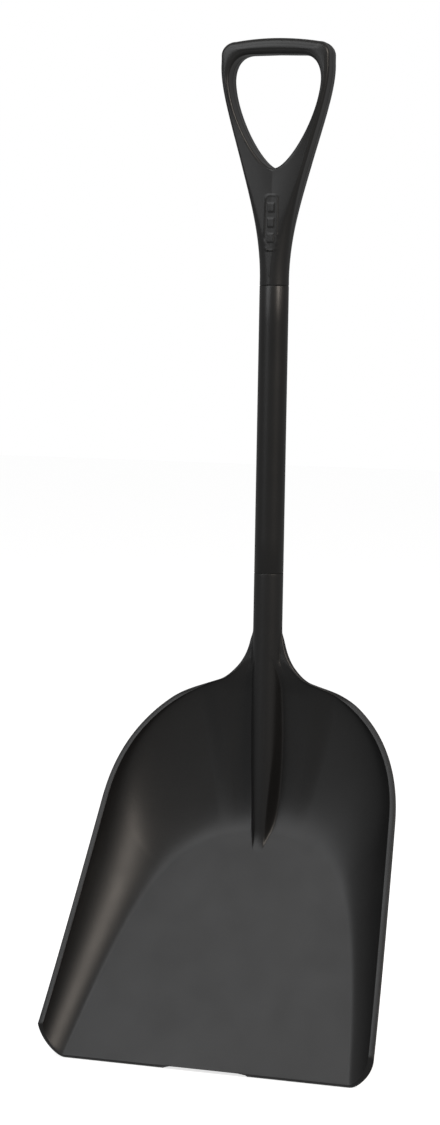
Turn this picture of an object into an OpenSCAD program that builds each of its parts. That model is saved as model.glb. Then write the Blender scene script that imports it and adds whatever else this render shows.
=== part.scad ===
/* Long-handled grain scoop with a D-grip, standing on its lip.
   +Z runs up the shaft, the scoop opens towards -Y. Millimetres. */

/* [Overall] */
// Height from the lip to the top of the grip
total_h = 1070; // [1000:1:1120]
// Angle between the scoop's floor and the shaft
lift = 36.7; // [34:0.1:39]
// How far the lip stands in front of the shaft's axis
lip_reach = 174; // [166:1:182]

/* [Scoop] */
// Length of the scoop along its floor, lip to shoulder
scoop_l = 428; // [417:1:438]
// Half width over the rim at the lip
rim_hw_lip = 184.5; // [176:0.5:190]
// Half width over the rim where the shoulder starts
rim_hw_mid = 164.5; // [160:0.5:170]
// Where the shoulder starts, along the floor
shoulder_s = 270; // [255:1:285]
// Set-back of the rim's front end behind the lip
rim_setback = 23.5; // [18:0.5:28]
// Height of the rim at the lip
rim_h_lip = 22.5; // [16:0.5:28]
// Height of the rim at the shoulder
rim_h_back = 88; // [80:1:96]
// Half width of the flat floor at the lip
floor_hw = 156; // [148:1:162]
// Length of the flat floor under the frog
floor_l = 278; // [270:1:290]
// Wall thickness
wall = 6; // [5:0.5:7]
// Length of the bevel on the lip
bevel = 1.5; // [1:0.5:4]

/* [Socket and frog] */
// Height of the seam between socket and shaft
seam_z = 501; // [490:1:515]
// Outside radius of the socket
socket_r = 15.6; // [15:0.1:17]
// Depth of the bore in the socket
socket_depth = 98; // [90:1:104]
// Fillet between the frog and the floor
frog_blend = 9; // [4:0.5:14]

/* [Shaft] */
// Outside radius of the shaft
shaft_r = 15.6; // [15:0.1:16.5]
// Radius of the shaft's bore
shaft_bore_r = 10; // [8:0.5:10.5]
// Radius of the turned-down ends
spigot_r = 13; // [12.5:0.1:13.5]
// Radial gap around the turned-down ends
spigot_gap = 0.1; // [0.05:0.05:0.3]

/* [D-grip] */
// Height of the grip, seam to top
grip_h = 260; // [250:1:270]
// Half width of the grip
grip_hw = 60.7; // [58:0.1:63]
// Half thickness of the grip's bar and posts
grip_ht = 14; // [12:0.5:15.5]
// Height of the hand opening's lowest point above the grip's seam
hole_low = 123.5; // [118:0.5:128]
// Height of the hand opening's top above the grip's seam
hole_top = 242; // [238:0.5:246]
// Half width of the hand opening
hole_hw = 50.8; // [47:0.1:52]
// Depth of the bore in the grip's neck
grip_depth = 62; // [50:1:75]

/* [Fasteners] */
// Radius of a screw's shank
screw_r = 2.4; // [2:0.1:3]
// Radius of a screw's head
screw_head_r = 4.8; // [4:0.1:6]
// Length of a core plug in the shaft's end
plug_l = 58; // [45:1:58]

/* [Hidden] */
$fn = 64;

black = [0.055, 0.055, 0.06];
plate_w = 7;
core_low = 248;
core_high = 376;
plate_back = 1.5;
head_out = 2;
head_seat = 0.6;
draw_start = 82;
draw_over = 32;
draw_in = 6;
draw_up = 9.5;
rows = 26;
floor_cols = 5;
wall_cols = 9;
cols = floor_cols + wall_cols;

// ---------- small helpers ----------
function mix(a, b, k) = a + (b - a) * k;
function clamp01(x) = max(0, min(1, x));
function smooth(x) = let (c = clamp01(x)) c * c * (3 - 2 * c);
function bez(a, b, c, d, k) = (1-k)^3*a + 3*(1-k)^2*k*b + 3*(1-k)*k^2*c + k^3*d;

// ---------- the scoop's own frame: t across, s along the floor, n out of it ----------
function place(p) = [p[0], -lip_reach + p[1] * sin(lift) - p[2] * cos(lift),
                     p[1] * cos(lift) + p[2] * sin(lift)];
// Height of the shaft's axis over the floor at s
function axis_n(s) = -lip_reach * cos(lift)
                     + (s - lip_reach * sin(lift)) * tan(lift);

// Rim in plan: straight side with a light taper, then a full round shoulder, drawn forwards
// onto the socket in the middle; k runs 0 to 1
side_k = 0.46;
function rim(k, inset) =
    let (wl = rim_hw_lip - inset, wm = rim_hw_mid - inset, l = scoop_l - inset,
         a = clamp01(k / side_k), f = 90 * clamp01((k - side_k) / (1 - side_k)),
         s = k < side_k ? mix(rim_setback, shoulder_s, a)
                        : shoulder_s + (l - shoulder_s) * sin(f) ^ 0.84,
         t = mix(wl, wm, (s - rim_setback) / (shoulder_s - rim_setback)) * cos(f),
         h = mix(rim_h_lip, rim_h_back,
                 ((s - rim_setback) / (l - rim_setback)) ^ 1.16),
         drawn = smooth((draw_start - t) / draw_over))
    [t, s - draw_in * drawn, h + draw_up * drawn];

// Edge of the flat floor, from the lip's corner to the point under the frog
function crease(k, lip_s) =
    let (j = k < side_k ? mix(0, 0.52, k / side_k) : mix(0.52, 1, (k - side_k) / (1 - side_k)))
    bez([floor_hw, lip_s], [121, 208], [99, floor_l - 5], [0, floor_l], j);

// Wall profile: round and upright at the rim on the sides, nearly straight at the back
function rise(a, k) =
    let (share = mix(0.28, 0.85, smooth((k - 0.4) / 0.45)))
    share * sin(a) + (1 - share) * (1 - cos(a));

// Front of the frog and socket, with drafted sides
function frog_n(t, s) =
    let (a = abs(t), edge = 0.95 * socket_r,
         crown = sqrt(socket_r^2 - min(a, edge)^2) / cos(lift))
    axis_n(s) + crown - max(0, a - edge) * 4.5;
function blend_max(a, b, c) = let (h = max(c - abs(a - b), 0) / c) max(a, b) + h * h * c / 4;

// Inner surface of the bowl without the frog; x is 0 on the centre line, 1 on the rim
split = floor_cols / cols;
function bowl(k, x) =
    let (f = crease(k, bevel), r = rim(k, wall), c = [0, mix(bevel, 236, k)],
         a = 90 * clamp01((x - split) / (1 - split)),
         g = rise(a, k), e = mix(g, sin(a), smooth(k / 0.2)))
    x < split ? [mix(c[0], f[0], x / split), mix(c[1], f[1], x / split), 0]
              : [mix(f[0], r[0], sin(a)), mix(f[1], r[1], e), r[2] * g];
function front(k, x) = let (p = bowl(k, x))
    [p[0], p[1], blend_max(p[2], frog_n(p[0], p[1]), frog_blend)];
// Outer surface: the inner one moved out by the wall, square to itself
function normal(k, x) =
    let (e = 0.004, k0 = max(0, k - e), k1 = min(1, k + e), x0 = max(0, x - e), x1 = min(1, x + e),
         v = cross(bowl(k, x1) - bowl(k, x0), bowl(k1, x) - bowl(k0, x)))
    v / norm(v);
function back(k, x) =
    let (p = bowl(k, x), v = x <= split ? [0, 0, 1] : normal(k, x),
         q = p - wall * v, up = x < split ? 0 : rise(90 * (x - split) / (1 - split), 0))
    [k == 1 ? 0 : max(0, q[0]),
     k == 0 ? rim_setback * up : q[1],
     x <= split ? -wall : max(q[2], -wall)];

function row_k(i) = i / rows;
module bowl_shell() {
    m = cols + 1;
    size = (rows + 1) * m;
    right_f = [for (i = [0:rows], j = [0:cols]) place(front(row_k(i), j / cols))];
    right_b = [for (i = [0:rows], j = [0:cols]) place(back(row_k(i), j / cols))];
    left_f = [for (p = right_f) [-p[0], p[1], p[2]]];
    left_b = [for (p = right_b) [-p[0], p[1], p[2]]];
    pts = concat(right_f, left_f, right_b, left_b);
    // Left points on the centre line are the right ones
    function id(back, left, i, j) =
        (back ? 2 * size : 0) + (left && j > 0 && i < rows ? size : 0) + i * m + j;
    sheets = [for (b = [false, true], l = [false, true], i = [0:rows-1], j = [0:cols-1])
        let (q = [id(b,l,i,j), id(b,l,i,j+1), id(b,l,i+1,j+1), id(b,l,i+1,j)],
             flip = b == l,
             t1 = [q[0], q[1], q[3]], t2 = [q[1], q[2], q[3]])
        each (flip ? [[t1[2], t1[1], t1[0]], [t2[2], t2[1], t2[0]]] : [t1, t2])];
    lip = [for (l = [false, true], j = [0:cols-1])
        let (q = [id(false,l,0,j), id(true,l,0,j), id(true,l,0,j+1), id(false,l,0,j+1)])
        each (l ? [[q[0], q[1], q[2]], [q[0], q[2], q[3]]]
                : [[q[2], q[1], q[0]], [q[3], q[2], q[0]]])];
    rim_band = [for (l = [false, true], i = [0:rows-1])
        let (q = [id(false,l,i,cols), id(true,l,i,cols),
                  id(true,l,i+1,cols), id(false,l,i+1,cols)])
        each (l ? [[q[0], q[1], q[2]], [q[0], q[2], q[3]]]
                : [[q[2], q[1], q[0]], [q[3], q[2], q[0]]])];
    polyhedron(pts, concat(sheets, lip, rim_band), convexity = 6);
}

// Lowest point of the tool and the middle of its depth, so that it stands on z = 0
low_z = place([0, 0, -wall])[2];
grip_z = total_h + low_z - grip_h;
front_y = min([for (i = [0:4], j = [0:cols]) each
    [place(back(row_k(i), j / cols))[1], place(front(row_k(i), j / cols))[1]]]);
rear_y = max(socket_r + head_out,
             max([for (i = [0:rows], j = [0:cols]) place(back(row_k(i), j / cols))[1]]));
module stand() { translate([0, -(front_y + rear_y) / 2, -low_z]) children(); }

// Web that carries the shoulder up into the socket, its edge a hollow curve
module neck_web() {
    edge = [for (k = [0:0.1:1]) [bez(59.5, 35.5, 17, 15, k), bez(383.5, 390, 410, 440, k)]];
    pts = concat([[0, 376], [38, 383], [57, 380.5]], edge, [[0, 440]]);
    for (side = [0, 1]) mirror([side, 0, 0])
        translate([0, plate_back, 0]) rotate([90, 0, 0]) linear_extrude(plate_w) polygon(pts);
}

// Hollow moulded into the back of the frog, so that no wall is solid
module frog_core() {
    r = socket_r - wall + 0.4;
    translate([0, 0, core_low]) linear_extrude(core_high - core_low) union() {
        circle(r);
        polygon([[-r, 0], [r, 0], [20, 80], [-20, 80]]);
    }
}

module scoop_blade() {
    color(black) stand() difference() {
        union() {
            bowl_shell();
            translate([0, 0, 396]) cylinder(h = seam_z - 396, r = socket_r);
            neck_web();
        }
        translate([0, 0, seam_z - socket_depth])
            cylinder(h = socket_depth + 1, r = spigot_r + spigot_gap);
        frog_core();
        screw_cut(seam_z - 42);
    }
}

// Hole and spot face for a screw driven from behind
module screw_cut(z) {
    translate([0, 0, z]) rotate([-90, 0, 0]) {
        cylinder(h = 40, r = screw_r + 0.2);
        translate([0, 0, socket_r - head_seat]) cylinder(h = 10, r = screw_head_r + 0.6);
    }
}

module shaft_tube() {
    color(black) stand() difference() {
        union() {
            translate([0, 0, seam_z]) cylinder(h = grip_z - seam_z, r = shaft_r);
            translate([0, 0, seam_z - socket_depth + 1])
                cylinder(h = grip_z - seam_z + socket_depth + grip_depth - 2, r = spigot_r);
        }
        translate([0, 0, seam_z - socket_depth]) cylinder(h = 700, r = shaft_bore_r);
        for (z = [seam_z - 42, grip_z + 32]) translate([0, 0, z]) rotate([-90, 0, 0])
            cylinder(h = 40, r = screw_r + 0.1);
    }
}

// ---------- D-grip ----------
// Outer edge, from the neck's foot to the middle of the top; k runs 0 to 3
corner_r = 15;
function grip_out(k) =
    k < 2 ? bez([shaft_r, 0], [13.5, 96], [grip_hw + 2.8, 186], [grip_hw, 234],
                k < 1 ? 0.5 * k : 0.5 + 0.5 * (k - 1))
  : k < 2.5 ? let (a = 90 * (k - 2) / 0.5)
        [grip_hw - corner_r + corner_r * cos(a), grip_h - 18.6 + corner_r * sin(a)]
  : let (x = (3 - k) / 0.5) [(grip_hw - corner_r) * x, grip_h - 3.6 * x ^ 2];
// Inner edge: the centre line up the neck, then round the hand opening
function grip_in(k) =
    k < 1 ? [0, hole_low * k]
  : k < 2 ? bez([0, hole_low], [17, hole_low], [49, hole_low + 54], [hole_hw, hole_low + 92], k - 1)
  : k < 2.5 ? bez([hole_hw, hole_low + 92], [hole_hw, hole_top - 12], [44, hole_top - 0.5],
                  [28, hole_top - 0.5], (k - 2) / 0.5)
  : [28 * (3 - k) / 0.5, hole_top - 0.5 * (3 - k) / 0.5];
function round_off(d, r) = d >= r ? 1 : sqrt(max(0, 1 - (1 - max(0, d) / r) ^ 2));
// Rounding of the edges: a full circle at the foot, small on the posts, larger on the bar
function edge_r(k) = k < 1 ? mix(shaft_r, 6, smooth(k * 1.05)) : k < 1.6 ? mix(6, 4, smooth((k-1)/0.6))
                   : mix(4, 7, smooth((k - 2) / 0.5));
function grip_half_t(z) = mix(shaft_r, grip_ht, smooth(z / hole_low));
grip_rows = 36;
grip_cols = 8;
function grip_front(k, x) =
    let (a = grip_in(k), b = grip_out(k), w = (1 - cos(180 * x)) / 2,
         v = k < 1 ? mix(sin(90 * x), w, k) : w,
         p = a + (b - a) * v, len = norm(b - a), r = edge_r(k),
         inner = k < 1 ? norm(p - [0, hole_low]) : v * len,
         y = grip_half_t(p[1]) * round_off((1 - v) * len, min(r, len / (k < 1 ? 1 : 2)))
             * round_off(inner, min(edge_r(max(k, 1)), k < 1 ? 99 : len / 2)))
    [p[0], k == 0 ? -shaft_r * cos(90 * x) : -y, grip_z + p[1]];
module d_grip_body() {
    m = grip_cols + 1;
    size = (grip_rows + 1) * m;
    q1 = [for (i = [0:grip_rows], j = [0:grip_cols]) grip_front(3 * i / grip_rows, j / grip_cols)];
    q2 = [for (p = q1) [-p[0], p[1], p[2]]];
    q3 = [for (p = q1) [p[0], -p[1], p[2]]];
    q4 = [for (p = q1) [-p[0], -p[1], p[2]]];
    pts = concat(q1, q2, q3, q4, [[0, 0, grip_z]]);
    neck_rows = grip_rows / 3;
    // Front and back share their outer edge and the hole's edge, left and right the centre lines
    function id(back, left, i, j) =
        (back && j < grip_cols && !(j == 0 && i >= neck_rows) ? 2 * size : 0)
        + (left && !(j == 0 && i <= neck_rows) && i < grip_rows ? size : 0) + i * m + j;
    sheets = [for (b = [false, true], l = [false, true], i = [0:grip_rows-1], j = [0:grip_cols-1])
        let (q = [id(b,l,i,j), id(b,l,i,j+1), id(b,l,i+1,j+1), id(b,l,i+1,j)], flip = b == l)
        each [for (t = [[q[0], q[1], q[2]], [q[0], q[2], q[3]]])
              if (t[0] != t[1] && t[1] != t[2] && t[0] != t[2]) flip ? [t[2], t[1], t[0]] : t]];
    foot = [for (b = [false, true], l = [false, true], j = [0:grip_cols-1])
        let (t = [4 * size, id(b,l,0,j), id(b,l,0,j+1)]) b == l ? t : [t[2], t[1], t[0]]];
    polyhedron(pts, concat(sheets, foot), convexity = 6);
}
// Raised plain panel on the neck, with three ribs
module grip_panel() {
    translate([0, -grip_half_t(66) + 2, grip_z + 66]) rotate([90, 0, 0]) {
        linear_extrude(2.5) union() {
            square([16, 44], center = true);
            for (y = [-22, 22]) translate([0, y]) circle(8);
        }
        for (y = [-16, 0, 16]) translate([-4, y - 5, 2]) cube([8, 10, 1.1]);
    }
}
module d_grip() {
    color(black) stand() difference() {
        union() {
            d_grip_body();
            grip_panel();
        }
        translate([0, 0, grip_z - 1]) cylinder(h = grip_depth + 1, r = spigot_r + spigot_gap);
        screw_cut(grip_z + 32);
    }
}

// ---------- hidden plugs and screws ----------
module core_plug(z, hole_z) {
    difference() {
        translate([0, 0, z]) cylinder(h = plug_l, r = shaft_bore_r);
        translate([0, 0, hole_z]) rotate([-90, 0, 0])
            translate([0, 0, -6]) cylinder(h = 40, r = screw_r);
    }
}
module lower_core_plug() {
    color([0.62, 0.5, 0.34]) stand() core_plug(seam_z - socket_depth + 2, seam_z - 42);
}
module upper_core_plug() {
    color([0.62, 0.5, 0.34]) stand() core_plug(grip_z + grip_depth - 2 - plug_l, grip_z + 32);
}
module screw(z) {
    translate([0, 0, z]) rotate([-90, 0, 0]) {
        translate([0, 0, -5.5]) cylinder(h = socket_r + 4.9, r = screw_r);
        difference() {
            translate([0, 0, socket_r - head_seat])
                cylinder(h = head_seat + head_out, r1 = screw_head_r, r2 = screw_head_r - 1);
            for (a = [0, 90]) rotate([0, 0, a])
                translate([-2.6, -0.6, socket_r + 0.9]) cube([5.2, 1.2, 3]);
        }
    }
}
module blade_screw() {
    color([0.35, 0.36, 0.38]) stand() screw(seam_z - 42);
}
module grip_screw() {
    color([0.35, 0.36, 0.38]) stand() screw(grip_z + 32);
}

scoop_blade();
shaft_tube();
d_grip();
lower_core_plug();
upper_core_plug();
blade_screw();
grip_screw();
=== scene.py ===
import math

import bmesh
import bpy
import numpy as np
from mathutils import Matrix, Vector


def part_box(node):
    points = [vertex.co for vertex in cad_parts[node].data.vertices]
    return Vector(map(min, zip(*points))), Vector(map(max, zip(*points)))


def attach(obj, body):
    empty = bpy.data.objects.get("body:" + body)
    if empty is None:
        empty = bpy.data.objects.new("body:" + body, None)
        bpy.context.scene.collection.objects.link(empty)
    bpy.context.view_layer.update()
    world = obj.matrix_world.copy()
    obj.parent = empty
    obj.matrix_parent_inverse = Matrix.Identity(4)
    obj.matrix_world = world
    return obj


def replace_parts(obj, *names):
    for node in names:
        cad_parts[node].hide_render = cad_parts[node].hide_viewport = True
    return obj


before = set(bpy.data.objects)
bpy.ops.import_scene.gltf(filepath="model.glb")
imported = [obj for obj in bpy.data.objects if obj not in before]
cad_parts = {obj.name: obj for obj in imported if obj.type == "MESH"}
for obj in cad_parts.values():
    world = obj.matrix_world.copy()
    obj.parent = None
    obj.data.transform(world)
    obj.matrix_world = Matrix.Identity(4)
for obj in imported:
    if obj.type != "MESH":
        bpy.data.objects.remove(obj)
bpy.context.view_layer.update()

# ---- Scoop blade ----
# One thick moulding of black polypropylene: flat floor, flared side walls, round shoulder, and the
# frog that runs up into the socket, cored out behind. The CAD boxes say where it stands.
mm = 0.001
wall = 6 * mm
lift = math.radians(36.7)
lip_reach = 174 * mm
shaft_lo, shaft_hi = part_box("shaft_tube")
axis_y = (shaft_lo.y + shaft_hi.y) / 2
stand_z = wall * math.sin(lift)
seam_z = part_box("scoop_blade")[1].z - stand_z
socket_r = 15.6 * mm
bore_r = 13.1 * mm
bore_depth = 98 * mm
edge_r = 0.45 * mm
lip_s = edge_r + 0.15 * mm

scoop_l, shoulder_s, floor_l = 428 * mm, 270 * mm, 278 * mm
rim_lip, rim_mid, setback = 184.5 * mm, 164.5 * mm, 23.5 * mm
rim_h_lip, rim_h_back = 22.5 * mm, 88 * mm
side_k, neck_k = 0.46, 0.8686
draw_start, draw_over, draw_in, draw_up = 82 * mm, 32 * mm, 6 * mm, 9.5 * mm
hollow_lo, hollow_hi, frog_blend = 248 * mm, 376 * mm, 9 * mm
screw_hole_z, screw_shank, screw_head = seam_z - 42 * mm, 2.6 * mm, 5.4 * mm
head_seat = socket_r - 0.6 * mm
weld, sliver = 2e-6, 1e-7
sharp_turn = math.radians(44)


def smooth(x):
    """0 below 0, 1 above 1, an even S between."""
    c = np.clip(x, 0, 1)
    return c * c * (3 - 2 * c)


def mix(a, b, k):
    """a at k = 0, b at k = 1."""
    return a + (b - a) * k


def bezier(a, b, c, d, k):
    """Cubic curve from a to d, pulled towards b and c."""
    return (1 - k) ** 3 * a + 3 * (1 - k) ** 2 * k * b + 3 * (1 - k) * k ** 2 * c + k ** 3 * d


def soft_max(a, b, c):
    """The larger of a and b, rounded where they are less than c apart."""
    h = np.maximum(c - np.abs(a - b), 0) / c
    return np.maximum(a, b) + h * h * c / 4


def place(t, s, n):
    """Scoop frame to shaft frame: t across, s up the floor from the lip, n square off the floor."""
    return np.stack([t, -lip_reach + s * math.sin(lift) - n * math.cos(lift),
                     s * math.cos(lift) + n * math.sin(lift)], -1)


def rim(k, inset):
    """Rim in plan and height: a side that tapers in, then a shoulder whose width falls as a
    cosine while its length rises as a sine to the power 0.84. Near the middle it is drawn
    forwards, onto the socket."""
    length = scoop_l - inset
    f = np.clip((k - side_k) / (1 - side_k), 0, 1) * math.pi / 2
    s = np.where(k < side_k, mix(setback, shoulder_s, k / side_k),
                 shoulder_s + (length - shoulder_s) * np.sin(f) ** 0.84)
    t = (mix(rim_lip, rim_mid, (s - setback) / (shoulder_s - setback)) - inset) * np.cos(f)
    h = mix(rim_h_lip, rim_h_back, ((s - setback) / (length - setback)) ** 1.16)
    drawn = smooth((draw_start - t) / draw_over)
    return t, s - draw_in * drawn, h + draw_up * drawn


def crease(k):
    """Edge of the flat floor: one curve from the lip's corner to the point under the frog."""
    j = np.where(k < side_k, 0.52 * k / side_k, mix(0.52, 1, (k - side_k) / (1 - side_k)))
    return (bezier(156 * mm, 121 * mm, 99 * mm, 0, j),
            bezier(lip_s, 208 * mm, 273 * mm, floor_l, j))


def bowl(k, x):
    """Inside of the scoop without its frog. x runs from -1 on the middle line to 0 on the crease
    and 1 at the rim. The wall starts with a soft crease and rounds until it is upright: a share of
    its height goes as the sine of the angle across it, the rest as 1 less the cosine. The share
    grows from the sides to the back, where the wall runs nearly straight up beside the shaft."""
    ft, fs = crease(k)
    rt, rs, rh = rim(k, wall)
    a = np.maximum(x, 0) * math.pi / 2
    soft = mix(0.16, 0.24, smooth((k - 0.1) / 0.7))
    start = (np.hypot(np.sin(a), soft) - soft) / (np.hypot(1, soft) - soft)
    share = mix(0.28, 0.85, smooth((k - 0.4) / 0.45))
    g = share * start + (1 - share) * (1 - np.cos(a))
    e = mix(g, np.sin(a), smooth(k / 0.2))
    u = 1 + np.minimum(x, 0)
    mid = mix(lip_s, 236 * mm, k)
    t = np.where(x < 0, ft * u, mix(ft, rt, np.sin(a)))
    s = np.where(x < 0, mix(mid, fs, u), mix(fs, rs, e))
    return np.stack([t, s, (rh - edge_r) * g + 0 * t], -1)


def tube(x):
    """How far the socket's round wall stands off its middle plane at x; it falls away outside."""
    return np.sqrt(np.maximum(socket_r ** 2 - x ** 2, 0)) - 4 * np.maximum(x - socket_r, 0)


def frog_n(t, s):
    """Front of the frog over the floor: an upright prow. Its crest is the socket's own round,
    cut off by two flanks that start close together at the tip and spread and steepen upwards."""
    z = s * math.cos(lift) + (s * math.sin(lift) - lip_reach + socket_r) * math.tan(lift)
    grow = smooth((z - 200 * mm) / (170 * mm))
    half = mix(5.6 * mm, 0.985 * socket_r, grow)
    lean = mix(2.3, 4.5, grow)
    flank = np.sqrt(socket_r ** 2 - half ** 2) - lean * (t - half)
    crest = np.sqrt(np.maximum(socket_r ** 2 - t ** 2, 0)) - 1.5 * np.maximum(t - socket_r, 0)
    off = -soft_max(-crest, -flank, 1.4 * mm)
    return (s * math.sin(lift) - lip_reach + off) / math.cos(lift)


row_k = np.concatenate([np.linspace(0, side_k, 80)[:-1], np.linspace(side_k, neck_k, 76)[:-1],
                        np.linspace(neck_k, 1, 55)])
col_x = np.concatenate([np.sin(np.linspace(0, 1, 27) * math.pi / 2)[:-1] - 1, np.linspace(0, 1, 58)])
neck_i = int(np.argmin(np.abs(row_k - neck_k)))
grid_k, grid_x = np.meshgrid(row_k, col_x, indexing="ij")

inner = bowl(grid_k, grid_x)
frog = soft_max(inner[..., 2], frog_n(inner[..., 0], inner[..., 1]), frog_blend)
front = place(inner[..., 0], inner[..., 1], frog)

# The outside: the inside moved out by the wall, square to itself
step = 0.002
k0, k1 = np.clip(grid_k - step, 0, 1), np.clip(grid_k + step, 0, 1)
x0, x1 = np.clip(grid_x - step, -1, 1), np.clip(grid_x + step, -1, 1)
square = np.cross(bowl(grid_k, x1) - bowl(grid_k, x0), bowl(k1, grid_x) - bowl(k0, grid_x))
square /= np.linalg.norm(square, axis=-1, keepdims=True)
square[grid_x <= 0] = (0, 0, 1)
outer = inner - wall * square
outer[..., 0] = np.where(grid_k == 1, 0, np.maximum(outer[..., 0], 0))
outer[..., 2] = np.maximum(outer[..., 2], -wall)
outer[..., 1] = mix(inner[..., 1], outer[..., 1], smooth(grid_k / 0.03))
back = place(outer[..., 0], outer[..., 1], outer[..., 2])
# Near the neck the wall's thickness turns to lie straight behind the rim
rim_in = place(inner[:, -1, 0], inner[:, -1, 1], inner[:, -1, 2])
turn = smooth((row_k - 0.74) / (neck_k - 0.74))[:, None]
rim_out = rim_in + mix(back[:, -1] - rim_in, np.array([0, wall, 0]), turn)
back += (rim_out - back[:, -1])[:, None] * (np.maximum(col_x, 0) ** 3)[None, :, None]


def hollow_back(p):
    """Back of the socket added and the hollow behind the frog taken out: straight sides with
    draft, a round floor one wall behind the crest, closed below and above. Low down, where the
    floor lies far in front, the added back is left standing as a wedge behind it."""
    x, y, z = p[..., 0], p[..., 1], p[..., 2]
    y = soft_max(y, tube(x) - 60 * mm * (1 - smooth((z - 335 * mm) / (45 * mm))), 5 * mm)
    r = socket_r - wall + 0.4 * mm
    floor = -np.sqrt(np.maximum(r ** 2 - x ** 2, 0)) + 8.9 * np.maximum(x - r, 0)
    ends = 5 * (np.maximum(hollow_lo - z, 0) + np.maximum(z - hollow_hi, 0))
    return np.stack([x, -soft_max(-y, -(floor + ends), 2.5 * mm), z], -1)


back = hollow_back(back)


def neck(base, side):
    """From the shoulder up to the socket's ring. Rows go up; columns follow the base's. The
    outline is a hollow curve that ends as the socket's side; inside it the surface is the
    larger of the round socket and a thin web that lies between its front and back faces."""
    y = np.linspace(0, 1, 46)[:, None]
    top, web_top, web_share = seam_z - edge_r, 440 * mm, 0.62
    bx, bz = base[0, 0], base[0, 2]
    q = np.clip(y / web_share, 0, 1)
    out_x = bezier(bx, 0.597 * bx, 17 * mm, socket_r, q)
    out_z = np.where(y < web_share, bezier(bz, bz + 6.2 * mm, 410 * mm, web_top, q),
                     mix(web_top, top, (y - web_share) / 0.38))
    m = base[None, :, 0] / bx
    x = out_x * mix(m, np.sin(math.pi / 2 * m ** 0.7), smooth(y))
    z = mix(base[None, :, 2], top, (out_z - bz) / (top - bz))
    half = mix(0.5 * wall, 4.2 * mm, smooth((z - bz) / (30 * mm)))
    half = half * (1 - smooth((z - 420 * mm) / (26 * mm)))
    middle = (rim_in[neck_i, 1] + 0.5 * wall) * (1 - smooth((z - bz) / (40 * mm)))
    flat = side * middle + half - 40 * mm * smooth((z - 438 * mm) / (30 * mm))
    up = soft_max(tube(x), flat, 7 * mm)
    up = np.where(m > 0.999, side * middle + half, up)
    fix = side * base[None, :, 1] - up[:1]
    up = up + fix * (1 - smooth(y / 0.35))
    up[-1] = np.sqrt(np.maximum(socket_r ** 2 - x[-1] ** 2, 0))
    grid = np.stack([x, side * up, z], -1)
    grid[0] = base
    return grid


front_neck = neck(front[neck_i:, -1], -1)
back_neck = neck(back[neck_i:, -1], 1)

# The bend where the shoulder's wall turns up into the web is rubbed round
lines = np.concatenate([front[neck_i:], front_neck[1:].transpose(1, 0, 2)], 1)
joint = front.shape[1] - 1
near = smooth(1.6 - np.abs(np.arange(lines.shape[1]) - joint) / 9)
inward = smooth((1 - lines[:, joint, 0] / lines[0, joint, 0]) / 0.3)
weight = (inward[:, None] * near[None, :])[:, 1:-1, None]
rub_passes = 70
for _ in range(rub_passes):
    lines[:, 1:-1] += 0.5 * weight * (lines[:, :-2] + lines[:, 2:] - 2 * lines[:, 1:-1])
front[neck_i:] = lines[:, :joint + 1]
front_neck = lines[:, joint:].transpose(1, 0, 2)


def profile(bulge, width):
    """Across and outward shares of nine points over an edge of that width: quarter circles at
    both corners, or half an ellipse where the bulge nears half the width."""
    q = np.linspace(0, math.pi / 2, 4)
    r = np.minimum(edge_r, width / 2)[:, None]
    w = np.maximum(width, 1e-9)[:, None]
    corner = r / w * (1 - np.cos(q))
    flat_a = np.concatenate([corner, 0.5 + 0 * w, 1 - corner[:, ::-1]], 1)
    flat_b = np.concatenate([np.sin(q), [1], np.sin(q)[::-1]])[None] * bulge[:, None]
    th = np.linspace(0, math.pi, 9)
    full_a, full_b = (1 - np.cos(th)) / 2 + 0 * w, np.sin(th) * bulge[:, None]
    k = smooth((bulge / edge_r - 1) / 0.6)[:, None]
    return mix(flat_a, full_a, k), mix(flat_b, full_b, k)


lip_a, lip_b = front[0], back[0]
rim_a, rim_b = front[:neck_i + 1, -1], back[:neck_i + 1, -1]
web_a, web_b = front_neck[:, 0], back_neck[:, 0]


def outward(a, b, towards):
    """Unit vectors square to the edge curve a and to the way across it to b."""
    out = np.cross(np.gradient(a, axis=0), b - a + 1e-9 * np.array([0, 1, 0]))
    out /= np.linalg.norm(out, axis=-1, keepdims=True)
    return out * np.sign(np.sum(out[len(out) // 3] * towards))


lip_o = outward(lip_a, lip_b, place(0.0, -1.0, 0.0) - place(0.0, 0.0, 0.0))
rim_o = outward(rim_a, rim_b, place(0.0, 0.0, 1.0) - place(0.0, 0.0, 0.0))
web_o = outward(web_a, web_b, np.array([1, 0, 1]))
mitre = lip_o[-1] + rim_o[0]
mitre /= 1 + lip_o[-1] @ rim_o[0]
lip_o[-1] = rim_o[0] = mitre
meet = rim_o[-1] + web_o[0]
rim_o[-1] = web_o[0] = meet / np.linalg.norm(meet)


def edge(a, b, out, bulge):
    """The grid over an edge, nine points across."""
    width = np.linalg.norm(b - a, axis=-1)
    ka, kb = profile(bulge, width)
    return a[:, None] + (b - a)[:, None] * ka[..., None] + out[:, None] * kb[..., None]


web_w = np.linalg.norm(web_b - web_a, axis=-1)
web_y = np.linspace(0, 1, len(web_a))
lip_edge = edge(lip_a, lip_b, lip_o, np.full(len(lip_a), edge_r))
rim_edge = edge(rim_a, rim_b, rim_o, np.full(len(rim_a), edge_r))
web_bulge = mix(edge_r, 2.2 * mm, smooth(web_y / 0.25)) * np.clip(web_w / wall, 0, 1)
web_edge = edge(web_a, web_b, web_o, web_bulge)

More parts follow.
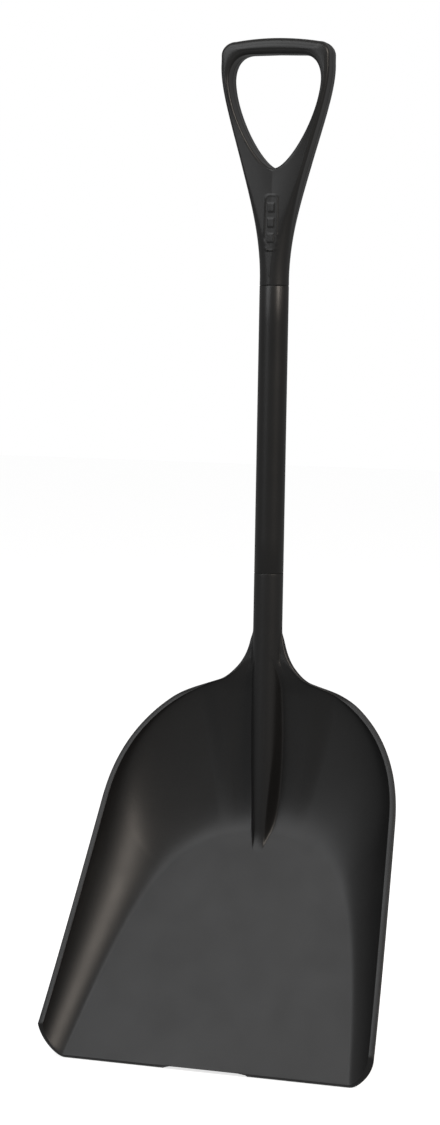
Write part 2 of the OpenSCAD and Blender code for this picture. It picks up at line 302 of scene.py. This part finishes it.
# Ring and bore of the socket
front_ring, back_ring = front_neck[-1, ::-1], back_neck[-1, :]
angle = np.concatenate([np.arctan2(front_ring[:, 0], -front_ring[:, 1]),
                        np.arctan2(back_ring[:, 0], -back_ring[:, 1])])
quarter = np.linspace(0, math.pi / 2, 5)
ring_r = np.concatenate([socket_r - edge_r * (1 - np.cos(quarter)),
                         [bore_r + 0.5 * mm, bore_r, bore_r, 0.5 * bore_r, 0]])
ring_z = np.concatenate([seam_z - edge_r * (1 - np.sin(quarter)),
                         [seam_z, seam_z - 0.5 * mm, seam_z - bore_depth, seam_z - bore_depth,
                          seam_z - bore_depth]])
ring = np.stack([ring_r[:, None] * np.sin(angle), -ring_r[:, None] * np.cos(angle),
                 ring_z[:, None] + 0 * angle], -1)


def make_piece(name, grids, mirrored=True):
    """One mesh from grids of points in the shaft frame, with their mirror images over x = 0.
    Points that meet are welded, slivers dissolved, and the faces turned to look outwards."""
    if mirrored:
        grids = grids + [g * np.array([-1, 1, 1]) for g in grids]
    points, quads, first = [], [], 0
    for g in grids:
        rows, cols = g.shape[:2]
        i = first + np.arange(rows * cols).reshape(rows, cols)
        quads.append(np.stack([i[:-1, :-1], i[1:, :-1], i[1:, 1:], i[:-1, 1:]], -1).reshape(-1, 4))
        points.append(g.reshape(-1, 3))
        first += rows * cols
    points = np.concatenate(points) + np.array([0, axis_y, stand_z])
    mesh = bpy.data.meshes.new(name)
    mesh.from_pydata(points.tolist(), [], np.concatenate(quads).tolist())
    shell = bmesh.new()
    shell.from_mesh(mesh)
    bmesh.ops.remove_doubles(shell, verts=shell.verts, dist=weld)
    bmesh.ops.dissolve_degenerate(shell, dist=sliver, edges=shell.edges)
    bmesh.ops.recalc_face_normals(shell, faces=shell.faces)
    shell.to_mesh(mesh)
    shell.free()
    mesh.shade_smooth()
    mesh.set_sharp_from_angle(angle=sharp_turn)
    piece = bpy.data.objects.new(name, mesh)
    bpy.context.scene.collection.objects.link(piece)
    return piece


blade = make_piece("scoop_blade_moulding", [front, back, front_neck, back_neck, lip_edge, rim_edge,
                                            web_edge, ring])


def turned(radii, heights, segments=96):
    """A profile of radii and heights carried round the Z axis; a closed profile gives a ring."""
    around = np.linspace(0, 2 * math.pi, segments + 1)
    r, z = np.asarray(radii)[:, None], np.asarray(heights)[:, None]
    return np.stack([r * np.cos(around), r * np.sin(around), z + 0 * around], -1)


def drilled(piece, z, radii, depths):
    """Cuts a stepped round hole into the +Y side at height z: radii along the depths, measured
    along Y from the shaft's axis. The cutter is a turned shape laid along Y."""
    shape = turned(radii, depths, 40)
    shape = np.stack([shape[..., 0], shape[..., 2], z + shape[..., 1]], -1)
    cutter = make_piece("cutter", [shape], mirrored=False)
    cut = piece.modifiers.new("hole", "BOOLEAN")
    cut.operation, cut.solver, cut.object = "DIFFERENCE", "EXACT", cutter
    bpy.context.view_layer.update()
    graph = bpy.context.evaluated_depsgraph_get()
    done = bpy.data.meshes.new_from_object(piece.evaluated_get(graph))
    piece.modifiers.clear()
    piece.data = done
    done.materials.clear()
    done.shade_smooth()
    done.set_sharp_from_angle(angle=sharp_turn)
    bpy.data.objects.remove(cutter)


def screw_holes(piece, z, outside=True):
    """The screw's clearance hole and the flat its head sits on, from the outside or as a
    plain hole through a wall."""
    clear = 24 * mm
    if outside:
        drilled(piece, z, [0, screw_shank, screw_shank, screw_head, screw_head, 0],
                [8 * mm, 8 * mm, head_seat, head_seat, clear, clear])
    else:
        drilled(piece, z, [0, screw_shank, screw_shank, 0], [6 * mm, 6 * mm, clear, clear])


screw_holes(blade, screw_hole_z)


class Number:
    """A socket's value in a sum. Each operator adds one Math node to the finish it belongs to."""

    def __init__(self, finish, socket):
        self.finish, self.socket = finish, socket

    def sum(self, operation, a, b):
        return self.finish.node("ShaderNodeMath", {"operation": operation}, {0: a, 1: b})

    def __add__(self, other):
        return self.sum("ADD", self, other)

    def __sub__(self, other):
        return self.sum("SUBTRACT", self, other)

    def __rsub__(self, other):
        return self.sum("SUBTRACT", other, self)

    def __mul__(self, other):
        return self.sum("MULTIPLY", self, other)

    def __pow__(self, other):
        return self.sum("POWER", self, other)

    __radd__, __rmul__ = __add__, __mul__


class Finish:
    """A material in the making: a Principled shader, with Object coordinates as its place."""

    def __init__(self, name, **constants):
        self.material = bpy.data.materials.new(name)
        self.material.use_nodes = True
        self.tree = self.material.node_tree
        self.shader = self.tree.nodes["Principled BSDF"]
        self.place = self.node("ShaderNodeTexCoord", out="Object")
        for key, value in constants.items():
            self.shader.inputs[key.replace("_", " ")].default_value = value

    def node(self, kind, settings=None, sockets=None, out=0):
        made = self.tree.nodes.new(kind)
        for key, value in (settings or {}).items():
            if key == "stops":
                made.color_ramp.elements.remove(made.color_ramp.elements[1])
                made.color_ramp.elements[0].position = value[0][0]
                made.color_ramp.elements[0].color = value[0][1]
                for at, colour in value[1:]:
                    made.color_ramp.elements.new(at).color = colour
            else:
                setattr(made, key, value)
        for key, value in (sockets or {}).items():
            self.plug(made.inputs[key], value)
        return Number(self, made.outputs[out])

    def plug(self, socket, value):
        if isinstance(value, Number):
            self.tree.links.new(value.socket, socket)
        else:
            socket.default_value = value

    def noise(self, scale, detail=2.0, stretch=(1, 1, 1), turn=(0, 0, 0)):
        """Noise from 0 to 1 around 0.5, so many times a metre, stretched and turned."""
        where = self.node("ShaderNodeMapping", sockets={
            "Vector": self.place, "Scale": stretch, "Rotation": turn})
        return self.node("ShaderNodeTexNoise", sockets={
            "Vector": where, "Scale": scale, "Detail": detail})

    def between(self, low, high, k):
        """Two colours mixed by k."""
        return self.node("ShaderNodeMix", {"data_type": "RGBA"}, {0: k, 6: low, 7: high}, out=2)

    def raised(self, height, depth):
        """The surface's normal with a height from 0 to 1 that is so deep in metres."""
        return self.node("ShaderNodeBump", sockets={
            "Height": height, "Distance": depth, "Strength": 1.0})

    def show(self, **links):
        for key, value in links.items():
            self.plug(self.shader.inputs[key.replace("_", " ")], value)
        return self.material


def moulded_black(name, dark, pale, roughness, grain, streak_turn):
    """Black polypropylene: a fine moulded grain, slow patches of gloss left by the mould, and a
    few hair-thin handling marks that run along the piece."""
    f = Finish(name, IOR=1.49)
    fine = f.noise(1100, 3.0)
    patches = f.noise(26, 4.0)
    cloud = f.noise(7, 2.0)
    streak = f.noise(5, 3.0, stretch=(150, 150, 1.6), turn=streak_turn)
    mark = f.node("ShaderNodeMapRange", {"interpolation_type": "SMOOTHSTEP"},
                  {"Value": streak, "From Min": 0.66, "From Max": 0.76})
    rough = roughness + (patches - 0.5) * 0.12 + (fine - 0.5) * 0.10 + mark * 0.06
    colour = f.between(dark, pale, 0.5 + (cloud - 0.5) * 0.8 + (fine - 0.5) * 0.9 + mark * 0.25)
    return f.show(Base_Color=colour, Roughness=rough,
                  Normal=f.raised(fine + patches * 1.5, grain))


blade.data.materials.append(moulded_black(
    "black_polypropylene_blade", (0.006, 0.006, 0.0062, 1), (0.018, 0.0178, 0.0176, 1), 0.40,
    0.00003, (-lift, 0, 0)))
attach(blade, "root")
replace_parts(blade, "scoop_blade")

# ---- Shaft ----
# Stout black polymer tube, drawn smooth. Both ends are turned down to fit the bores of the socket
# and the grip, so that its outside lies flush with them, with a fine chamfer at each seam.
grip_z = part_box("d_grip")[0].z - stand_z
grip_screw_z = grip_z + 32 * mm
spigot_r, shaft_bore, chamfer = 13 * mm, 10 * mm, 0.7 * mm
shaft_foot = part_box("shaft_tube")[0].z - stand_z
shaft_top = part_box("shaft_tube")[1].z - stand_z
body_z = np.linspace(seam_z + chamfer, grip_z - chamfer, 9)
shaft_r = np.concatenate([[shaft_bore, spigot_r - chamfer, spigot_r, spigot_r,
                           socket_r - chamfer, socket_r - 0.3 * chamfer], 0 * body_z + socket_r,
                          [socket_r - 0.3 * chamfer, socket_r - chamfer, spigot_r, spigot_r,
                           spigot_r - chamfer, shaft_bore, shaft_bore, shaft_bore]])
shaft_z = np.concatenate([[shaft_foot, shaft_foot, shaft_foot + chamfer, seam_z, seam_z,
                           seam_z + 0.3 * chamfer], body_z,
                          [grip_z - 0.3 * chamfer, grip_z, grip_z, shaft_top - chamfer,
                           shaft_top, shaft_top, (shaft_foot + shaft_top) / 2, shaft_foot]])
shaft = make_piece("shaft_tube_drawn", [turned(shaft_r, shaft_z)], mirrored=False)
for hole_z in (screw_hole_z, grip_screw_z):
    screw_holes(shaft, hole_z, outside=False)
shaft.data.materials.append(moulded_black(
    "black_polymer_shaft", (0.006, 0.006, 0.006, 1), (0.017, 0.0165, 0.016, 1), 0.34,
    0.000012, (0, 0, 0)))
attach(shaft, "root")
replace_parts(shaft, "shaft_tube")

# ---- D-grip ----
# One moulding of black polypropylene on the shaft's upper end: a round foot that spreads and
# flattens into two posts and a bar. Its flat faces meet its sides in narrow round edges, a
# parting line runs along the sides, and a plain panel stands proud on the neck's front.
grip_h, grip_hw, hole_low, hole_top = 259.9 * mm, 60.6 * mm, 123.5 * mm, 242 * mm
grip_bore, corner_r, panel_z, ridge_h = 62 * mm, 15 * mm, 66 * mm, 0.22 * mm


def grip_outline(k):
    """Right half of the outline, from the foot at k = 0 up one side (to 2), round the corner (to
    2.5) and along the top to the middle (3)."""
    up, corner = np.minimum(k, 2) / 2, np.clip((k - 2) / 0.5, 0, 1) * math.pi / 2
    across = (3 - k) / 0.5
    x = np.where(k <= 2, bezier(socket_r, 13.5 * mm, 63.5 * mm, grip_hw, up),
                 grip_hw - corner_r * (1 - np.cos(corner)))
    z = np.where(k <= 2, bezier(0, 96 * mm, 186 * mm, 234 * mm, up),
                 grip_h - 18.6 * mm + corner_r * np.sin(corner))
    x = np.where(k > 2.5, (grip_hw - corner_r) * across, x)
    return x, np.where(k > 2.5, grip_h - 3.6 * mm * across ** 2, z)


def grip_hole(k):
    """The hand opening's edge for k from 1, its lowest point, to 3, the middle of its top."""
    a, b = np.clip(k - 1, 0, 1), np.clip((k - 2) / 0.5, 0, 1)
    across = (3 - k) / 0.5
    x = np.where(k <= 2, bezier(0, 17 * mm, 49 * mm, 50.8 * mm, a),
                 bezier(50.8 * mm, 50.8 * mm, 44 * mm, 28 * mm, b))
    z = np.where(k <= 2, bezier(hole_low, hole_low, 177.5 * mm, 215.5 * mm, a),
                 bezier(215.5 * mm, 230 * mm, 241.5 * mm, 241.5 * mm, b))
    return (np.where(k > 2.5, 28 * mm * across, x),
            np.where(k > 2.5, hole_top - 0.5 * mm * across, z))


def square_to(x, z):
    """Unit normals of a curve in the XZ plane, to its right."""
    dx, dz = np.gradient(x), np.gradient(z)
    size = np.hypot(dx, dz)
    return dz / size, -dx / size


grip_k = np.concatenate([np.linspace(0, 1, 150)[:-1], np.linspace(1, 2, 90)[:-1],
                         np.linspace(2, 2.5, 26)[:-1], np.linspace(2.5, 3, 30)])
hole_i = int(np.argmin(np.abs(grip_k - 1)))
side_x, side_z = grip_outline(grip_k)
side_nx, side_nz = square_to(side_x, side_z)
side_nz = side_nz * smooth(grip_k / 0.3)
side_nx[-1], side_nz[-1] = 0, 1
norm = np.hypot(side_nx, side_nz)
side_nx, side_nz = side_nx / norm, side_nz / norm
side_z = side_z + 0.8 * mm * (1 - smooth(grip_k / 0.15))
hole_x, hole_z = grip_hole(grip_k)
hole_nx, hole_nz = square_to(hole_x[hole_i:], hole_z[hole_i:])
hole_nx[0], hole_nz[0], hole_nx[-1], hole_nz[-1] = 0, -1, 0, 1
round_k = smooth(grip_k / 0.5)
half_t = mix(socket_r, 14 * mm, smooth(grip_k))
out_r = mix(socket_r, 3.4 * mm, smooth(grip_k / 0.95)) + 3.6 * mm * smooth((grip_k - 2) / 0.5)
in_r = mix(3.2 * mm, 2.4 * mm, smooth((grip_k - 1) / 0.4)) + 2.4 * mm * smooth((grip_k - 2) / 0.5)
crown, bulge = 0.5 * mm * round_k, 0.45 * mm * round_k
face_x = side_x - side_nx * (out_r + bulge)
face_z = side_z - side_nz * (out_r + bulge)
inner_x = np.concatenate([0 * grip_k[:hole_i], hole_x[hole_i:] + hole_nx * (in_r + bulge)[hole_i:]])
inner_z = np.concatenate([mix(0.8 * mm, hole_low - in_r[hole_i] - bulge[hole_i], grip_k[:hole_i]),
                          hole_z[hole_i:] + hole_nz * (in_r + bulge)[hole_i:]])
share_v = np.linspace(0, 1, 34)[None, :]
sheet_x = mix(inner_x[:, None], face_x[:, None], share_v)
sheet_z = mix(inner_z[:, None], face_z[:, None], share_v)
bow = mix(share_v ** 2, (2 * share_v - 1) ** 2, smooth((grip_k - 0.6) / 0.4)[:, None])
sheet_y = -half_t[:, None] + crown[:, None] * bow


def panel(x, z):
    """How proud the panel stands: a rounded plate 16 x 60 mm, a raised border, three pads."""
    u, v = np.abs(x) - 2 * mm, np.abs(z - panel_z) - 24 * mm
    inset = 6 * mm - np.hypot(np.maximum(u, 0), np.maximum(v, 0))
    plate = 0.45 * mm * smooth(inset / (0.8 * mm))
    border = 0.4 * mm * smooth(inset / (0.8 * mm)) * (1 - smooth((inset - 1.2 * mm) / (0.7 * mm)))
    pads = 0
    for middle in (-16 * mm, 0, 16 * mm):
        pad = np.minimum(4 * mm - np.abs(x), 5 * mm - np.abs(z - panel_z - middle))
        pads = pads + 0.5 * mm * smooth(pad / (0.9 * mm))
    return plate + border + pads


def grip_band(px, pz, nx, nz, r, swell, rows):
    """Round edge and side wall beside the front sheet, down to the parting line: a quarter circle
    of radius r, then a wall that bows out by swell and carries a fine ridge at the middle."""
    arc = np.linspace(0, math.pi / 2, 12)
    wall_u = np.array([0.17, 0.34, 0.51, 0.68, 0.82, 0.92, 0.957, 0.98, 1])
    top_y = (-half_t + crown)[rows][:, None]
    r, swell = r[:, None], swell[:, None]
    side_y = top_y + r
    out_a, y_a = r * np.sin(arc), top_y + r * (1 - np.cos(arc))
    ridge = ridge_h * np.maximum(0, (wall_u - 0.957) / 0.043) * smooth(-side_y / (6 * mm))
    out_b = r + swell * (1 - (1 - wall_u) ** 2) + ridge - ridge_h * smooth(-side_y / (6 * mm))
    out_b = np.maximum(out_b, r)
    y_b = side_y * (1 - wall_u)
    off, y = np.concatenate([out_a, out_b], 1), np.concatenate([y_a, y_b + 0 * r], 1)
    return np.stack([px[:, None] + nx[:, None] * off, y, pz[:, None] + nz[:, None] * off], -1)


plain = np.stack([sheet_x, sheet_y, sheet_z], -1)
faced = np.stack([sheet_x, sheet_y - panel(sheet_x, sheet_z), sheet_z], -1)
outer_band = grip_band(face_x, face_z, side_nx, side_nz, out_r, bulge, slice(None))
faced_band = outer_band.copy()
faced_band[..., 1] -= panel(outer_band[..., 0], outer_band[..., 2])
hole_band = grip_band(inner_x[hole_i:], inner_z[hole_i:], -hole_nx, -hole_nz, in_r[hole_i:],
                      bulge[hole_i:], slice(hole_i, None))
foot_a = np.linspace(0, math.pi / 2, 12)
foot_q = np.linspace(0, math.pi / 2, 4)
foot_r = np.concatenate([socket_r - 0.8 * mm * (1 - np.cos(foot_q)), [bore_r + 0.4 * mm, bore_r,
                         bore_r, bore_r / 2, 0]])
foot_z = np.concatenate([0.8 * mm * (1 - np.sin(foot_q)), [0, 0.4 * mm, grip_bore, grip_bore,
                         grip_bore]])
foot = np.stack([foot_r[:, None] * np.sin(foot_a), -foot_r[:, None] * np.cos(foot_a),
                 foot_z[:, None] + 0 * foot_a], -1)
turn_back = np.array([1, -1, 1])
grids = [faced, faced_band, hole_band, foot] + [g * turn_back
                                                for g in (plain, outer_band, hole_band, foot)]
grip = make_piece("d_grip_moulding", [g + np.array([0, 0, grip_z]) for g in grids])
screw_holes(grip, grip_screw_z)
grip.data.materials.append(moulded_black(
    "black_polypropylene_grip", (0.006, 0.006, 0.006, 1), (0.018, 0.0178, 0.0176, 1), 0.36,
    0.00002, (0, 0, 0)))
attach(grip, "root")
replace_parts(grip, "d_grip")

# ---- Screws ----
# Two zinc-plated steel pan-head wood screws with cross recesses, driven from behind through
# socket and grip into the core plugs. The thread is rolled; it runs from under the head's neck
# to the point.
zinc = Finish("zinc_plated_steel", Metallic=1.0)
haze, scuff = zinc.noise(420, 4.0), zinc.noise(2600, 2.0)
zinc.show(Base_Color=zinc.between((0.42, 0.43, 0.45, 1), (0.62, 0.62, 0.60, 1), haze),
          Roughness=0.24 + haze * 0.16 + scuff * 0.08,
          Normal=zinc.raised(haze + scuff * 0.5, 0.00001))


def wood_screw(name, z):
    """A profile along the screw's length, from point to crown, carried round it. The thread is a
    ridge whose height is a sharpened cosine of length over pitch less the turn; the recess is
    the smaller of two crossed slots with sloping sides, sunk from the crown."""
    around = np.linspace(0, 2 * math.pi, 49)[None, :]
    point, pitch = -5.4 * mm, 1.9 * mm
    ys = np.linspace(point, head_seat - 2.2 * mm, 110)[:, None]
    taper = smooth((ys - point) / (5 * mm))
    ridge = (0.5 + 0.5 * np.cos((ys / pitch) * 2 * math.pi - around)) ** 3
    fade = smooth((head_seat - 4.2 * mm - ys) / (1.5 * mm))
    r1 = (1.75 * mm + 0.62 * mm * ridge * fade) * (0.12 + 0.88 * taper)
    rh = np.array([1.75, 1.75, 4.3, 4.72, 4.8, 4.72, 4.5, 4.1, 3.6, 3.0, 2.6, 2.3, 2.0, 1.7, 1.4,
                   1.1, 0.8, 0.5, 0.25, 0])[:, None] * mm
    yh = head_seat + np.array([-1.8, 0, 0, 0.25, 0.8, 1.35, 1.75, 2.1, 2.35, 2.5, 2.54, 2.57, 2.58,
                               2.59, 2.6, 2.6, 2.6, 2.6, 2.6, 2.6])[:, None] * mm
    head_x, head_z = rh * np.cos(around), rh * np.sin(around)
    slot_a = np.minimum((0.55 * mm - np.abs(head_x)) / (0.35 * mm), (2.5 * mm - np.abs(head_z)) / mm)
    slot_b = np.minimum((0.55 * mm - np.abs(head_z)) / (0.35 * mm), (2.5 * mm - np.abs(head_x)) / mm)
    sunk = 1.2 * mm * np.clip(np.maximum(slot_a, slot_b), 0, 1) * (yh > head_seat + 2 * mm)
    tip = np.zeros_like(around)
    radius = np.concatenate([tip, r1, rh + 0 * around])
    along = np.concatenate([tip + point - 0.1 * mm, ys + 0 * around, yh - sunk])
    grid = np.stack([radius * np.cos(around), along, z + radius * np.sin(around)], -1)
    piece = make_piece(name, [grid], mirrored=False)
    piece.data.materials.append(zinc.material)
    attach(piece, "root")
    return piece


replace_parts(wood_screw("blade_wood_screw", screw_hole_z), "blade_screw")
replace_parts(wood_screw("grip_wood_screw", grip_screw_z), "grip_screw")

# ---- Core plugs ----
# Turned hardwood dowels glued into the hollow shaft behind each screw, so that it has wood to
# bite in. They lie hidden inside the shaft.
wood = Finish("turned_hardwood", Roughness=0.62)
warp = wood.noise(30, 3.0, stretch=(1, 1, 0.12))
rings = wood.node("ShaderNodeTexWave", {"wave_type": "RINGS", "rings_direction": "Z"}, {
    "Vector": wood.node("ShaderNodeMapping", sockets={
        "Vector": wood.place, "Location": (0.011, 0.004, 0), "Scale": (1, 1, 0.05)}),
    "Scale": 190.0, "Distortion": 2.4, "Detail": 2.0})
pores = wood.noise(8, 2.0, stretch=(260, 260, 9))
tone = rings * 0.55 + warp * 0.35 + pores * 0.2
wood.show(Base_Color=wood.node("ShaderNodeValToRGB", {"stops": [
    (0.2, (0.33, 0.2, 0.1, 1)), (0.55, (0.52, 0.36, 0.2, 1)), (0.9, (0.64, 0.48, 0.3, 1))]},
    {"Fac": tone}), Roughness=0.5 + pores * 0.3, Normal=wood.raised(pores + rings * 0.4, 0.00006))
for node in ("lower_core_plug", "upper_core_plug"):
    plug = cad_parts[node]
    plug.data.materials.clear()
    plug.data.materials.append(wood.material)

# ---- Studio ----
# Pale floor and white surround that lights the tool only dimly; a cool tall soft box on the left,
# two warm ones on the right and a low wide one overhead.
floor_mesh = bpy.data.meshes.new("studio_floor")
floor_mesh.from_pydata([(-12, -12, 0), (12, -12, 0), (12, 12, 0), (-12, 12, 0)], [],
                       [(0, 1, 2, 3)])
floor = bpy.data.objects.new("studio_floor", floor_mesh)
bpy.context.scene.collection.objects.link(floor)
pale = Finish("pale_studio_floor", Base_Color=(0.88, 0.88, 0.88, 1), Roughness=0.8,
              Emission_Color=(1, 1, 1, 1), Emission_Strength=0.75)
floor_mesh.materials.append(pale.show(Roughness=0.75 + pale.noise(9) * 0.1))
floor.visible_diffuse = floor.visible_glossy = False

world = bpy.data.worlds.new("white_surround")
bpy.context.scene.world = world
world.use_nodes = True
sky = world.node_tree
seen = sky.nodes["Background"]
seen.inputs["Color"].default_value = (1, 1, 1, 1)
seen.inputs["Strength"].default_value = 1.0
dim = sky.nodes.new("ShaderNodeBackground")
dim.inputs["Color"].default_value = (1, 1, 1, 1)
dim.inputs["Strength"].default_value = 0.26
choose, ray = sky.nodes.new("ShaderNodeMixShader"), sky.nodes.new("ShaderNodeLightPath")
sky.links.new(ray.outputs["Is Camera Ray"], choose.inputs[0])
sky.links.new(dim.outputs[0], choose.inputs[1])
sky.links.new(seen.outputs[0], choose.inputs[2])
sky.links.new(choose.outputs[0], sky.nodes["World Output"].inputs["Surface"])


def soft_box(name, azimuth, elevation, distance, width, height, radiance, colour):
    """A rectangular light that faces the tool's middle from azimuth (0 in front, 90 to the
    right) and elevation, both in degrees. Its power is pi times area times radiance."""
    light = bpy.data.lights.new(name, "AREA")
    light.shape, light.size, light.size_y = "RECTANGLE", width, height
    light.energy, light.color = math.pi * width * height * radiance, colour
    lamp = bpy.data.objects.new(name, light)
    bpy.context.scene.collection.objects.link(lamp)
    az, el = math.radians(azimuth), math.radians(elevation)
    towards = Vector((math.sin(az) * math.cos(el), -math.cos(az) * math.cos(el), math.sin(el)))
    target = Vector((0, axis_y, 0.45))
    lamp.location = target + distance * towards
    lamp.rotation_euler = towards.to_track_quat("Z", "Y").to_euler()


soft_box("cool_key", -31, 37, 3.2, 1.45, 3.3, 2.4, (0.97, 0.985, 1.0))
soft_box("warm_fill", 54, 34, 3.2, 0.95, 1.8, 7.5, (1.0, 0.90, 0.80))
soft_box("warm_edge", 78, 42, 3.2, 0.6, 2.6, 2.2, (1.0, 0.90, 0.80))
soft_box("overhead", -4, 69, 3.0, 1.1, 0.5, 2.6, (1.0, 1.0, 1.0))

# ---- Camera ----
# A long lens at chest height, a little right of the front, turned slightly out of level.
yaw, pitch, roll = math.radians(20.28), math.radians(4.61), math.radians(1.026)
camera_data = bpy.data.cameras.new("camera")
camera_data.sensor_width, camera_data.lens = 36, 100.67
camera = bpy.data.objects.new("camera", camera_data)
bpy.context.scene.collection.objects.link(camera)
camera.location = (1.1113, -3.1583 + axis_y, 0.781 + stand_z)
looking = Matrix.Rotation(yaw, 3, "Z") @ Matrix.Rotation(math.radians(90) - pitch, 3, "X")
looking = looking @ Matrix.Rotation(roll, 3, "Z")
camera.rotation_euler = looking.to_euler()
bpy.context.scene.camera = camera
bpy.context.scene.view_settings.view_transform = "Standard"
